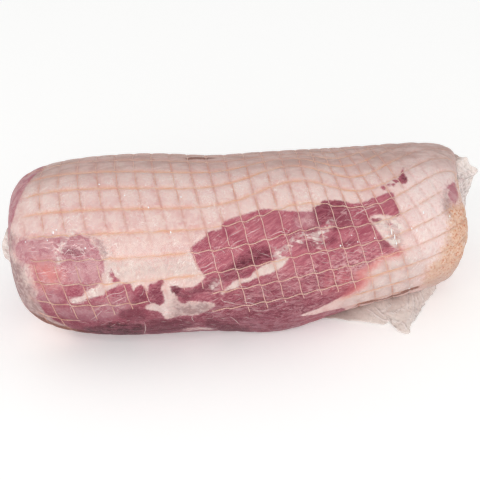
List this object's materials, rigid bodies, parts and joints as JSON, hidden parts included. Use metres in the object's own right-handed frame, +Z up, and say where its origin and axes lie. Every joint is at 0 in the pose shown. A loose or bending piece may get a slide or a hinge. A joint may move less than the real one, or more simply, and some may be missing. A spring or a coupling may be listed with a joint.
{
  "type": "netted boneless pork loin roast",
  "caption": "Raw boneless pork loin roast, rolled in an elastic net and vacuum sealed in a clear bag, lying on a table.",
  "frame": {"origin": "centre of the whole pack's box, on the table under it", "axes": "+X along the roast to its blunt end, which has the bag's spare film; +Y to the back; +Z up"},
  "size_m": [0.362, 0.1501, 0.1182],
  "materials": {
    "meat": "satin",
    "net": "matte",
    "film": "gloss"
  },
  "bodies": {
    "root": {"bagged_roast": "meat"}
  },
  "joints": []
}
